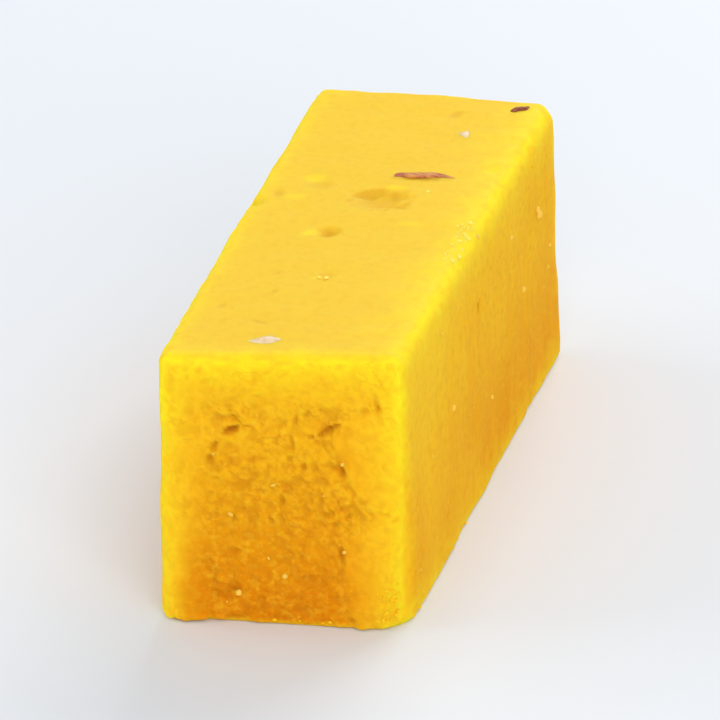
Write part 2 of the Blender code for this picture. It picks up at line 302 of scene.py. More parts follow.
@dataclass
class BarForm:
    """The bar's outer form, with the sizes of the solid: a worn box, cut askew, with torn ends."""

    length: float = 62.0 * MM
    width_near: float = 22.5 * MM
    width_far: float = 24.4 * MM
    height: float = 28.0 * MM
    near_cut: float = math.radians(13.2)
    far_cut: float = math.radians(5.0)
    right_flare: float = 1.2 * MM
    left_flare: float = 0.15 * MM
    near_foot_lean: float = 1.8 * MM
    centre_shift: Vector = field(default_factory=lambda: Vector((-0.54 * MM, 0.86 * MM, 0)))
    top_radii: dict = field(
        default_factory=lambda: {"near": 1.5 * MM, "far": 1.3 * MM, "right": 1.7 * MM, "left": 1.1 * MM}
    )
    base_radii: dict = field(
        default_factory=lambda: {"near": 0.7 * MM, "far": 0.6 * MM, "right": 0.5 * MM, "left": 0.6 * MM}
    )
    corner_blend: float = 0.5
    near_left_corner: float = 1.8 * MM
    near_right_corner: float = 1.7 * MM
    far_left_corner: float = 1.5 * MM
    far_right_corner: float = 1.7 * MM
    near_right_foot: float = 3.6 * MM
    foot_height: float = 18.0 * MM
    swell_size: float = 11.0 * MM
    swell_depth: float = 0.16 * MM
    furrow_pitch: float = 5.2 * MM
    furrow_depth: float = 0.035 * MM
    furrow_bend: float = 0.8
    tear_depth: float = 0.34 * MM
    tear_grain_size: float = 1.9 * MM
    tear_grain_depth: float = 0.2 * MM
    tear_grain_fall: float = 0.9
    tear_grain_step: float = 2.1
    tear_grain_octaves: int = 2
    tear_wander: float = 1.0 * MM
    tear_wander_size: float = 3.0 * MM
    tear_left: float = -7.8 * MM
    tear_top: float = 25.6 * MM
    tear_softness: float = 1.8 * MM
    tear_right: tuple = in_metres(
        (0.0, 6.6), (8.0, 5.4), (11.8, 8.6), (13.9, 6.9), (19.0, 4.8), (20.9, 5.6), (22.4, 9.2), (28.0, 8.0)
    )
    flap_softness: float = 0.5 * MM
    flap_wander_up: float = 0.5
    flap_wander_across: float = 0.4
    crumble_size: float = 2.3 * MM
    crumble_depth: float = 0.28 * MM
    crumble_loss: float = 0.2
    top_dimples: tuple = in_metres(
        (0.8, 4.9, 3.1, 2.6, 0.5),
        (-2.3, -3.0, 1.5, 1.5, 0.4),
        (-6.5, 1.7, 1.4, 1.4, 0.2),
        (-6.6, 8.8, 1.8, 1.4, 0.2),
        (9.3, 13.3, 1.6, 1.5, 0.25),
    )

    def half(self) -> Vector:
        """Half of the plain box's size along each axis."""
        return Vector((self.width_near + self.width_far, 2 * self.length, 2 * self.height)) / 4

    def corner_radius(self, place: Vector) -> float:
        """The radius of the upright corner nearest to a point.

        Args:
            place: A point on the plain box.

        Returns:
            The radius at the point's height.
        """
        half = self.half()
        blend = self.corner_blend
        far = smooth_step(-blend, blend, place.y / half.y)
        right = smooth_step(-blend, blend, place.x / half.x)
        foot = 1 - smooth_step(0, self.foot_height, place.z)
        near_right = mix(self.near_right_corner, self.near_right_foot, foot)
        near = mix(self.near_left_corner, near_right, right)
        return mix(near, mix(self.far_left_corner, self.far_right_corner, right), far)

    def rim_radius(self, radii: dict, way: Vector) -> float:
        """The radius of the top or base edge.

        Args:
            radii: The four radii of that edge, by side.
            way: The way the skin beside the edge faces, in plan.

        Returns:
            The radius there.
        """
        near_or_far = radii["near"] if way.y < 0 else radii["far"]
        left_or_right = radii["left"] if way.x < 0 else radii["right"]
        return way.y**2 * near_or_far + way.x**2 * left_or_right

    def worn(self, place: Vector) -> tuple[Vector, Vector]:
        """Moves a point of the plain box on to the worn edges.

        Args:
            place: A point on the plain box, which stands on its base.

        Returns:
            The point on the worn box, and the way out of the skin there.
        """
        half = self.half()
        radius = self.corner_radius(place)
        flat = Vector((place.x, place.y))
        core = Vector(min(max(c, radius - h), h - radius) for c, h in zip(flat, half))
        away = flat - core
        inset = radius - max(abs(away.x), abs(away.y))
        if away.length:
            way = away.normalized()
            flat = core + way * (radius - inset)
        else:
            way = Vector((0, 0))
            inset = self.height
        if place.z > half.z:
            rim, drop, up = self.rim_radius(self.top_radii, way), self.height - place.z, 1
        else:
            rim, drop, up = self.rim_radius(self.base_radii, way), place.z, -1
        across, rise = rim - inset, rim - drop
        if across <= 0 and rise <= 0 or not way.length:
            return Vector((*flat, place.z)), Vector((0, 0, up))
        if rise <= 0:
            return Vector((*flat, place.z)), Vector((*way, 0))
        if across <= 0:
            return Vector((*flat, place.z)), Vector((0, 0, up))
        turn = Vector((across, rise)).normalized()
        flat = flat + way * (turn.x * rim - across)
        height = self.height - rim + turn.y * rim if up > 0 else rim - turn.y * rim
        return Vector((*flat, height)), Vector((*(way * turn.x), up * turn.y))

    def tear_bound(self, height: float) -> float:
        """The torn field's right bound at a height.

        Args:
            height: The height above the base.

        Returns:
            How far to the right the field reaches there.
        """
        for (low, first), (high, second) in zip(self.tear_right, self.tear_right[1:]):
            if height <= high:
                return mix(first, second, smooth_step(low, high, height))
        return self.tear_right[-1][1]

    def tear_share(self, point: Vector) -> float:
        """How much of the torn field shows at a point of an end.

        Args:
            point: A point on the worn box.

        Returns:
            0 at the smooth margin, up to 1 in the torn field.
        """
        across = point.x if point.y < 0 else -point.x
        wander = self.tear_wander * noise.noise(point / self.tear_wander_size)
        left, soft, flap = self.tear_left, self.tear_softness, self.flap_softness
        share = smooth_step(left - soft, left + soft, across + wander)
        bound = self.tear_bound(point.z + self.flap_wander_up * wander)
        share *= 1 - smooth_step(bound - flap, bound + flap, across + self.flap_wander_across * wander)
        return share * (1 - smooth_step(self.tear_top - 2 * soft, self.tear_top, point.z + wander))

    def relief(self, point: Vector, out: Vector, torn: float) -> float:
        """The main relief that the solid has too.

        Args:
            point: A point on the worn box.
            out: The way out of the skin there.
            torn: How much of the torn field shows there.

        Returns:
            How far the skin stands out from the worn box.
        """
        end, side = out.y**2, out.x**2
        top, base = max(out.z, 0) ** 2, max(-out.z, 0) ** 2
        height = self.swell_depth * noise.noise(point / self.swell_size)
        fineness = (self.tear_grain_fall, self.tear_grain_step, self.tear_grain_octaves)
        grain = noise.fractal(point / self.tear_grain_size, *fineness)
        height += torn * (self.tear_grain_depth * grain - self.tear_depth)
        edge = 1 - max(end, side, top, base)
        crumble = noise.noise(point / self.crumble_size) - self.crumble_loss
        height += 2 * edge * self.crumble_depth * crumble
        bend = point.y / self.furrow_pitch + self.furrow_bend * noise.noise(point / self.swell_size)
        height += self.furrow_depth * top * math.sin(2 * math.pi * bend)
        for across, along, half_length, half_width, depth in self.top_dimples:
            away = math.hypot((point.x - across) / half_length, (point.y - along) / half_width)
            if away < 1:
                height -= depth * top * (1 - away * away) ** 2
        return height

    def on_box(self, face: Face, first: float, second: float) -> Vector:
        """A place on a face of the plain box.

        Args:
            face: The face.
            first: The place along the face's first direction.
            second: The place along its second one.

        Returns:
            The point on the plain box.
        """
        half = self.half()
        place = Vector((0, 0, 0))
        place[face.value[2]] = first
        place[face.value[3]] = second
        place[face.axis] = self.height if face is Face.TOP else face.way * half[face.axis]
        return place

    def on_skin(self, place: Vector) -> tuple[Vector, Vector]:
        """Where a place on the plain box ends up on the bar.

        Args:
            place: The point on the plain box.

        Returns:
            The point on the bar's skin in the frame, and the way out of the skin there.
        """
        point, out = self.worn(place)
        torn = out.y**2 * self.tear_share(point)
        return self.knife_cut(point + out * self.relief(point, out, torn)), out

    def knife_cut(self, point: Vector) -> Vector:
        """Moves a point of the worn box to where the knife's slanted cuts leave it.

        Args:
            point: A point on or near the worn box.

        Returns:
            The point in the frame.
        """
        along = (point.y + self.length / 2) / self.length
        depth = 1 - point.z / self.height
        mean_width = (self.width_near + self.width_far) / 2
        x = point.x * mix(self.width_near, self.width_far, along) / mean_width
        right = smooth_step(-mean_width / 2, mean_width / 2, point.x)
        x += depth * mix(-self.left_flare, self.right_flare, right)
        y = point.y + point.x * mix(math.tan(self.near_cut), math.tan(self.far_cut), along)
        y -= self.near_foot_lean * depth * right * (1 - along)
        return Vector((x, y, point.z)) + self.centre_shift


@dataclass
class BesanBar:
    """The bar itself: one closed skin with the crumb, cracks, pores and knife marks of the real sweet."""

    form: BarForm = field(default_factory=BarForm)
    cuts_across: int = 106
    cuts_along: int = 168
    cuts_up: int = 134
    edge_crowding: float = 0.2
    end_facing: float = 0.1
    base_fade: Pair = (0.2, 0.9)
    # The hollows and knife marks, each with painted shade inside, as strong as its last number.
    marks: tuple = (
        *marks_on(
            Face.NEAR,
            (-4.8, 20.3, 1.1, 0.5, 28, 0.75, 1.0),
            (-4.4, 21.7, 0.6, 0.4, 120, 0.3, 0.4),
            (-6.3, 18.7, 0.9, 0.45, 60, 0.4, 0.5),
            (-6.8, 17.2, 0.9, 0.5, 95, 0.4, 0.5),
            (4.3, 20.4, 0.9, 0.5, 35, 0.6, 0.8),
            (1.4, 21.4, 0.8, 0.45, 75, 0.4, 0.5),
            (2.5, 22.3, 0.7, 0.45, 60, 0.35, 0.5),
            (0.3, 21.2, 0.7, 0.4, 40, 0.3, 0.4),
            (1.0, 19.0, 1.2, 0.4, 95, 0.3, 0.4),
            (5.6, 16.4, 1.1, 0.6, 100, 0.35, 0.7),
            (0.0, 13.0, 0.9, 0.6, 80, 0.35, 0.5),
            (4.1, 11.7, 0.7, 0.5, 40, 0.25, 0.25),
            (5.5, 7.7, 1.5, 0.45, 92, 0.4, 0.6),
            (9.1, 23.1, 1.3, 0.45, 112, 0.25, 0.2),
            (-4.4, 7.6, 0.8, 0.5, 20, 0.3, 0.4),
            (-8.2, 0.6, 2.6, 0.5, -4, -0.4, 0.0),
        ),
        *marks_on(Face.RIGHT, (-2.2, 20.3, 0.8, 0.55, 80, 0.4, 0.9)),
        *marks_on(
            Face.TOP,
            # The top's dimples and the marks around them, with painted shade on their walls.
            (0.5, 5.1, 3.4, 2.7, 10, 0.3, 0.16),
            (-0.9, 6.0, 1.7, 0.8, 25, 0.3, 0.3),
            (1.9, 6.0, 1.6, 0.7, -18, 0.2, 0.2),
            (2.6, 3.6, 1.7, 0.6, -20, 0.2, 0.3),
            (-2.4, -2.9, 1.5, 1.3, 20, 0.24, 0.22),
            (-2.7, -3.6, 0.9, 0.5, 30, 0.2, 0.3),
            (-5.9, 7.6, 1.5, 1.2, 0, 0.2, 0.14),
            (-0.2, -12.9, 1.4, 1.3, 0, 0.15, 0.12),
            (3.1, 25.9, 0.7, 1.0, 0, 0.12, 0.24),
            (-11.0, 3.4, 0.9, 1.3, 0, 0.4, 0.1),
            (-9.3, 5.3, 0.7, 1.0, 0, 0.12, 0.25),
            (-8.3, -19.8, 0.5, 0.7, 0, 0.1, 0.22),
            (-4.1, -16.6, 0.4, 0.6, 0, 0.1, 0.2),
            (-4.8, -12.4, 0.4, 0.6, 0, 0.1, 0.2),
            (-3.8, -23.0, 1.3, 0.4, -28, 0.12, 0.24),
            # A painted shadow under the pistachio sliver, in a shallow hollow.
            (3.2, 10.1, 3.2, 0.7, 4, 0.12, 0.4),
        ),
    )
    # The cracks, with painted shade inside them.
    cracks: tuple = (
        Crack(
            Face.NEAR,
            in_metres((4.6, 19.7), (5.2, 17.9), (5.7, 16.2), (6.6, 14.3), (8.2, 13.0), (10.6, 11.6)),
            0.36 * MM,
            0.24 * MM,
            0.28,
        ),
        Crack(Face.NEAR, in_metres((3.0, 19.7), (4.2, 20.3), (5.3, 21.1)), 0.36 * MM, 0.35 * MM, 0.7),
        # Painted shade along the edges of the large dimple on the top.
        Crack(
            Face.TOP,
            in_metres((-2.3, 4.3), (-1.6, 6.3), (0.4, 7.3), (2.6, 6.6)),
            0.4 * MM,
            0.12 * MM,
            0.22,
        ),
        Crack(Face.TOP, in_metres((0.6, 2.5), (2.6, 2.7), (3.6, 4.3)), 0.4 * MM, 0.12 * MM, 0.26),
        Crack(Face.NEAR, in_metres((-5.6, 21.6), (-4.9, 22.3), (-4.0, 21.4)), 0.3 * MM, 0.2 * MM, 0.4),
    )
    # Light spots on the top: partly painted highlights on the dimples' lit walls, partly lighter patches of
    # the poured skin; the last number sets how much each lightens.
    smears_and_highlights: tuple = marks_on(
        Face.TOP,
        (-6.9, 9.2, 1.6, 1.0, 0, 0.0, 0.4),
        (-7.6, 4.6, 1.4, 1.0, 0, 0.0, 0.3),
        (-4.0, -3.4, 1.2, 0.9, 20, 0.0, 0.5),
        (9.9, 13.3, 2.0, 2.2, 0, 0.0, 0.55),
        (1.6, 7.9, 1.4, 0.8, 0, 0.0, 0.4),
        (5.2, -0.6, 1.8, 0.8, 0, 0.0, 0.3),
        (-0.4, -13.2, 1.7, 0.5, 4, 0.0, 0.35),
    )
    mark_facing: float = 0.5
    mark_unevenness_size: float = 0.6 * MM
    light_spot_unevenness_size: float = 1.6 * MM
    lump_size: float = 1.7 * MM
    lump_depth: float = 0.3 * MM
    # Each crease: how far it reaches from where two lumps meet, as a noise value, and the strength of its
    # painted shade.
    lump_crease: Pair = (0.1, 0.36)
    crumb_size: float = 0.8 * MM
    crumb_depth: float = 0.16 * MM
    crumb_crease: Pair = (0.14, 0.32)
    crumb_level: float = 0.2
    crumb_patch_size: float = 3.4 * MM
    crumb_patch_levels: Pair = (-0.3, 0.3)
    crumb_patch_least: float = 0.45
    crumb_on_ends: float = 0.5
    crumb_on_sides: float = 0.05
    warp_size: float = 0.9 * MM
    warp_reach: float = 0.25 * MM
    grain_size: float = 0.42 * MM
    grain_depth: float = 0.06 * MM
    hollow_size: float = 1.1 * MM
    hollow_depth: float = 0.24 * MM
    hollow_levels: Pair = (0.0, 0.35)
    # Painted shade in the crumb's hollows.
    hollow_shade: float = 0.42
    pit_size: float = 0.85 * MM
    pit_levels: Pair = (0.36, 0.62)
    pit_group_size: float = 4.2 * MM
    pit_group_levels: Pair = (-0.1, 0.35)
    pit_depth: float = 0.24 * MM
    # Painted shade in the pits.
    pit_shade: float = 0.6
    pits_on_ends: float = 0.3
    pits_on_sides: float = 0.18
    bulge_size: float = 4.5 * MM
    bulge_depth: float = 0.34 * MM
    bulge_on_sides: float = 0.35
    drag_sizes: tuple = (3 * MM, 1.7 * MM, 7 * MM)
    drag_depth: float = 0.05 * MM
    ripple_sizes: Pair = (11 * MM, 1.3 * MM)
    ripple_depth: float = 0.014 * MM
    lip_height: float = 0.9 * MM
    lip_reach: float = 0.4 * MM
    lip_core: float = 0.3
    lip_level: float = 0.35
    lip_ragged_sizes: Pair = (1.1 * MM, 0.45 * MM)
    lip_raggedness: Pair = (1.3, 0.5)
    # The painted glow of light through the rubbed edges: its width and its ragged, gappy bound.
    rim_width: float = 1.9 * MM
    rim_ragged_sizes: Pair = (2.6 * MM, 0.8 * MM)
    rim_raggedness: Pair = (0.45, 0.315)
    rim_gap_size: float = 1.1 * MM
    rim_gap_levels: Pair = (-0.1, 0.5)
    rim_gap_loss: float = 0.35
    # Each top rim's painted glow: its width, its strength, and how many times faster it fades down the side
    # than inwards.
    top_rims: dict = field(
        default_factory=lambda: {
            "near": (1.55 * MM, 1.0, 0.7),
            "far": (0.8 * MM, 0.5, 0.7),
            "right": (2.8 * MM, 0.8, 1.7),
            "left": (1.2 * MM, 0.7, 0.9),
        }
    )
    # The upright edges' painted glow, stronger towards the top.
    top_rim_fall: float = 1.3
    upright_rim: float = 0.72
    upright_rim_fall: float = 1.5
    upright_rim_gains: Pair = (0.9, 1.5)
    upright_rim_heights: Pair = (17 * MM, 25 * MM)
    side_pull: float = 1.4
    foot_flare: float = 0.6
    foot_flare_height: float = 4 * MM
    foot_flare_from_middle: float = 8 * MM
    # Painted light on the foot: a lighter lip along the base of each side, stronger towards the near end.
    foot_rim: float = 2.2 * MM
    foot_rim_fall: float = 1.2
    foot_light: float = 0.5
    foot_near: Pair = (-28 * MM, -18 * MM)
    foot_near_gain: float = 0.5
    end_wander: float = 1.2 * MM
    end_wander_size: float = 2.6 * MM
    # The paler margins of an end, around its painted shade: where each starts to darken, and where it is at
    # its darkest.
    left_margin: float = 1.2 * MM
    left_full: Pair = (3.6 * MM, 6.0 * MM)
    left_full_heights: Pair = (5 * MM, 12 * MM)
    right_margin: Pair = (1.0 * MM, 8.0 * MM)
    top_margin: Pair = (0.5 * MM, 13.0 * MM)
    end_least: float = 0.2
    # Painted shade on a side: deeper below its top edge, in soft patches and towards the far end.
    side_depth: float = 0.6
    side_least: float = 0.3
    side_top: float = 11 * MM
    side_patches: Pair = (6 * MM, 9 * MM)
    side_patchiness: float = 0.45
    side_far_gain: float = 0.85
    side_far: Pair = (-24 * MM, 6 * MM)

    def block(self) -> Shape:
        """Makes the plain box, sliced into small quads that crowd towards its edges.

        Returns:
            The sliced box, standing on its base.
        """
        shape = bmesh.new()
        bmesh.ops.create_cube(shape, size=2.0)
        for axis, cuts in enumerate((self.cuts_across, self.cuts_along, self.cuts_up)):
            runs = [e for e in shape.edges if abs(e.verts[0].co[axis] - e.verts[1].co[axis]) > 1]
            bmesh.ops.subdivide_edges(shape, edges=runs, cuts=cuts, use_grid_fill=True)
        half = self.form.half()
        for vertex in shape.verts:
            for axis in range(3):
                part = vertex.co[axis]
                vertex.co[axis] = half[axis] * part * (1 + self.edge_crowding * (1 - part * part))
        bmesh.ops.translate(shape, verts=shape.verts, vec=(0, 0, half.z))
        return shape

    def crumb(self, point: Vector, share: float) -> Pair:
        """The broken crumb: puffed lumps and grains that meet in creases, rougher in patches.

        Args:
            point: A point on the worn box.
            share: How much of the crumb shows there.

        Returns:
            How far it raises the skin, and the painted shade in its creases and hollows, from 0 to 1.
        """
        patch = noise.noise(point / self.crumb_patch_size)
        patch = mix(self.crumb_patch_least, 1, smooth_step(*self.crumb_patch_levels, patch))
        warped = point + self.warp_reach * noise.noise_vector(point / self.warp_size)
        lump = abs(noise.noise(warped / self.lump_size))
        crumb = abs(noise.noise(warped / self.crumb_size + CRUMB_SHIFT))
        height = self.lump_depth * (lump - self.crumb_level) + self.crumb_depth * (crumb - self.crumb_level)
        height = patch * height + self.grain_depth * noise.noise(point / self.grain_size)
        creases = ((lump, *self.lump_crease), (crumb, *self.crumb_crease))
        crease = sum(stain * (1 - smooth_step(0.0, width, level)) for level, width, stain in creases)
        hollow = -noise.noise(warped / self.hollow_size)
        hollow = self.hollow_shade * smooth_step(*self.hollow_levels, hollow)
        return share * (height - self.hollow_depth * hollow), share * patch * max(crease, hollow)

    def pits(self, point: Vector, share: float) -> float:
        """Uneven small pits, where a noise field peaks, in loose groups.

        Args:
            point: A point on the worn box.
            share: How much of the pits shows there.

        Returns:
            How deep a point lies in a pit, from 0 to 1.
        """
        group = noise.noise(point / self.pit_group_size + PIT_GROUP_SHIFT)
        pit = noise.noise(point / self.pit_size + PIT_SHIFT)
        return share * smooth_step(*self.pit_group_levels, group) * smooth_step(*self.pit_levels, pit)

    def lip(self, point: Vector) -> float:
        """How far the near end's ragged foot stands out.

        Args:
            point: A point on the worn box.

        Returns:
            The lip's reach there.
        """
        ragged = self.lip_level
        for size, gain in zip(self.lip_ragged_sizes, self.lip_raggedness):
            ragged += gain * noise.noise(point / size)
        low = 1 - smooth_step(self.lip_core * self.lip_height, self.lip_height, point.z)
        return self.lip_reach * min(1.0, max(0.0, ragged)) * low

    def fine_relief(self, point: Vector, out: Vector, torn: float) -> Pair:
        """The fine marks of the skin.

        Args:
            point: A point on the worn box.
            out: The way out of the skin there.
            torn: How much of the torn field shows there.

        Returns:
            How far they raise the skin, and the painted shade in a crevice or pit, from 0 to 1.
        """
        end, side, top = out.y**2, out.x**2, max(out.z, 0) ** 2
        height, dark = self.crumb(point, max(torn, self.crumb_on_ends * end, self.crumb_on_sides * side))
        pit = self.pits(point, max(torn, self.pits_on_sides * side, self.pits_on_ends * end))
        height -= self.pit_depth * pit
        edge = 1 - max(end, side, top)
        bulge = self.bulge_depth * noise.noise(point / self.bulge_size + BULGE_SHIFT)
        height += bulge * (edge + self.bulge_on_sides * side)
        drag = Vector(place / size for place, size in zip(point, self.drag_sizes))
        height += self.drag_depth * side * noise.noise(drag)
        ripple = Vector((point.x / self.ripple_sizes[0], point.y / self.ripple_sizes[1], 0))
        height += self.ripple_depth * top * noise.noise(ripple)
        if point.y < 0:
            height += end * self.lip(point)
        return height, max(dark, self.pit_shade * pit)

    def named_marks(self, point: Vector, out: Vector) -> Pair:
        """The marks and cracks that have a place of their own.

        Args:
            point: A point on the worn box.
            out: The way out of the skin there.

        Returns:
            How deep they cut the skin, and the painted shade they put in it, from 0 to 1.
        """
        depth, dark = 0.0, 0.0
        unevenness = noise.noise(point / self.mark_unevenness_size)
        for mark in (*self.marks, *self.cracks):
            facing = out[mark.face.axis] * mark.face.way
            if facing < self.mark_facing:
                continue
            share = mark.share(mark.face.spot(point), unevenness)
            if share:
                depth += share * mark.depth
                dark = max(dark, share * mark.stain)
        return depth, dark

    def rim(self, place: Vector) -> float:
        """How near a point lies to an edge, which is rubbed smoother and gets a painted glow of light
        through it, as a brighter yellow.

        Args:
            place: A point on the plain box.

        Returns:
            1 at an upright or top edge, falling off over a few millimetres.
        """
        half = self.form.half()
        drop, gap_x, gap_y = self.form.height - place.z, half.x - abs(place.x), half.y - abs(place.y)
        uneven = 1.0
        for size, gain in zip(self.rim_ragged_sizes, self.rim_raggedness):
            uneven += gain * noise.noise(place / size)
        low = 1 - smooth_step(0, self.foot_flare_height, place.z)
        flare = 1 + self.foot_flare * low * smooth_step(0, self.foot_flare_from_middle, place.x)
        upright = max(gap_x, self.side_pull * gap_y) / (self.rim_width * uneven * flare)
        lit = mix(*self.upright_rim_gains, smooth_step(*self.upright_rim_heights, place.z))
        share = min(1.0, self.upright_rim * lit) * math.exp(-(upright**self.upright_rim_fall))
        if gap_x < gap_y:
            near = 1 - smooth_step(*self.foot_near, place.y)
            foot = math.exp(-((place.z / (self.foot_rim * uneven)) ** self.foot_rim_fall))
            share = max(share, self.foot_light * (1 + self.foot_near_gain * near) * foot)
        near_or_far = self.top_rims["near" if place.y < 0 else "far"]
        left_or_right = self.top_rims["left" if place.x < 0 else "right"]
        for (width, strength, pull), gap in ((near_or_far, gap_y), (left_or_right, gap_x)):
            away = max(pull * drop, gap) / (width * uneven)
            share = max(share, strength * math.exp(-(away**self.top_rim_fall)))
        gap = noise.noise(place / self.rim_gap_size)
        share *= 1 - self.rim_gap_loss * smooth_step(*self.rim_gap_levels, gap)
        # The top's light spots lighten it: partly painted highlights, partly lighter patches of the skin.
        if drop < TOUCHING:
            spot, unevenness = Face.TOP.spot(place), noise.noise(place / self.light_spot_unevenness_size)
            share = max([share] + [light_spot.stain * light_spot.share(spot, unevenness) for light_spot in self.smears_and_highlights])
        return share

    def deepness(self, place: Vector, out: Vector) -> float:
        """How deep the painted shade is: an end is darker in its middle, and a side is darker below its top
        edge.

        Args:
            place: A point on the plain box.
            out: The way out of the skin there.

        Returns:
            0 on the top, a little on a side, up to 1 in the middle of an end, low down.
        """
        half, drop = self.form.half(), self.form.height - place.z
        across = place.x if place.y < 0 else -place.x
        wander = self.end_wander * noise.noise(place / self.end_wander_size)
        full = mix(*self.left_full, smooth_step(*self.left_full_heights, place.z))
        left = smooth_step(self.left_margin, full, half.x + across + wander)
        right = smooth_step(*self.right_margin, half.x - across + wander)
        down = smooth_step(*self.top_margin, drop + 2 * wander)
        patch = noise.noise(Vector((0, place.y / self.side_patches[0], place.z / self.side_patches[1])))
        side = mix(self.side_least, 1, smooth_step(0, self.side_top, drop))
        side *= 1 + self.side_patchiness * patch
        side *= 1 + self.side_far_gain * smooth_step(*self.side_far, place.y)
        return out.y**2 * left * right * mix(self.end_least, 1, down) + self.side_depth * side * out.x**2

    def build(self, finish: Material) -> Piece:
        """Builds the bar in place of its solid.

        Args:
            finish: The sweet's material.

        Returns:
            The bar's object.
        """
        shape = self.block()
        layers = {name: shape.verts.layers.float.new(name) for name in LAYERS}
        for vertex in shape.verts:
            place = vertex.co.copy()
            point, out = self.form.worn(place)
            torn = out.y**2 * self.form.tear_share(point) if abs(out.y) > self.end_facing else 0.0
            raised, dark = self.fine_relief(point, out, torn)
            cut, stain = self.named_marks(point, out)
            height = self.form.relief(point, out, torn) + raised - cut
            height *= 1 - smooth_step(*self.base_fade, max(-out.z, 0) ** 2)
            vertex.co = self.form.knife_cut(point + out * height)
            vertex[layers["torn"]] = torn
            vertex[layers["rim"]] = self.rim(place)
            vertex[layers["deep"]] = self.deepness(place, out)
            vertex[layers["crevice"]] = max(dark, stain)
            vertex[layers["top"]] = max(out.z, 0) ** 2
        under = [f for f in shape.faces if all(v.co.z < TOUCHING for v in f.verts)]
        bmesh.ops.dissolve_faces(shape, faces=under, use_verts=True)
        bmesh.ops.recalc_face_normals(shape, faces=shape.faces)
        bar = place_piece(shape, "besan_bar_skin", finish)
        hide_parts(NODE)
        return bar


